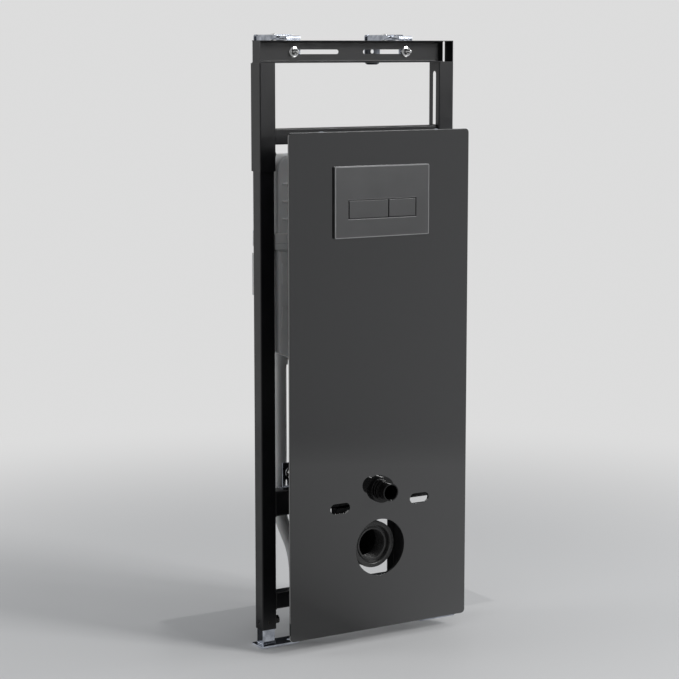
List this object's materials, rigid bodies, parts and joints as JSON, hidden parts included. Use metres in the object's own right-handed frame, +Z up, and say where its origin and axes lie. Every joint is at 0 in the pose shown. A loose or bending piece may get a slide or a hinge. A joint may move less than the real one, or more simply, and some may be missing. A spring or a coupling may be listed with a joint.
{
  "type": "wall hung toilet frame",
  "caption": "Installation frame for a wall-hung toilet: steel uprights, slim cistern, glass panel, flush plate with sliding buttons, flush and waste connections.",
  "frame": {"origin": "on the floor, midway between the bolt holes of the two feet", "axes": "+Z up, -Y to the room, +Y to the wall, +X to the right seen from the room"},
  "size_m": [0.528, 0.3215, 1.3768],
  "materials": {
    "powder_coat": "fine satin powder coat",
    "zinc": "bluish zinc plating",
    "bolt_steel": "bright zinc plating",
    "black_screw": "black oxide",
    "pale_plastic": "satin moulded plastic",
    "dark_plastic": "smooth pipe plastic",
    "gloss_black": "gloss",
    "rubber": "matt moulded rubber",
    "black_glass": "gloss, coated black on its back",
    "satin_black": "satin with bright edges"
  },
  "bodies": {
    "frame": {"beam_bolts": "bolt_steel", "bracket_bolts": "bolt_steel", "button_carrier": "dark_plastic", "cistern_body": "pale_plastic", "cistern_lid": "pale_plastic", "clamp_screws": "black_screw", "conduit": "pale_plastic", "flush_bend": "dark_plastic", "flush_connector": "gloss_black", "flush_plate": "satin_black", "glass_panel": "black_glass", "left_beam_bracket": "zinc", "left_bracket_front": "zinc", "left_bracket_rear": "zinc", "left_cistern_clip": "powder_coat", "left_foot": "zinc", "left_post": "powder_coat", "left_sleeve": "powder_coat", "left_standoffs": "zinc", "left_waste_strut": "powder_coat", "lower_crossbar": "powder_coat", "mid_beam": "powder_coat", "rail_bolts": "bolt_steel", "right_beam_bracket": "zinc", "right_bracket_front": "zinc", "right_bracket_rear": "zinc", "right_cistern_clip": "powder_coat", "right_foot": "zinc", "right_post": "powder_coat", "right_sleeve": "powder_coat", "right_standoffs": "zinc", "right_waste_strut": "powder_coat", "service_shaft": "pale_plastic", "sleeve_bolts": "bolt_steel", "top_rail": "powder_coat", "upper_crossbar": "powder_coat", "waste_clamp": "powder_coat", "waste_elbow": "dark_plastic", "waste_gasket": "rubber"},
    "large_button": {"large_button": "satin_black"},
    "small_button": {"small_button": "satin_black"}
  },
  "joints": [
    {"name": "large_button_press", "type": "slide", "parent": "frame", "child": "large_button", "axis": [0, 1, 0], "range_m": [0, 0.004], "stiffness_N_per_m": 400, "springref_m": -0.002},
    {"name": "small_button_press", "type": "slide", "parent": "frame", "child": "small_button", "axis": [0, 1, 0], "range_m": [0, 0.004], "stiffness_N_per_m": 400, "springref_m": -0.002}
  ]
}
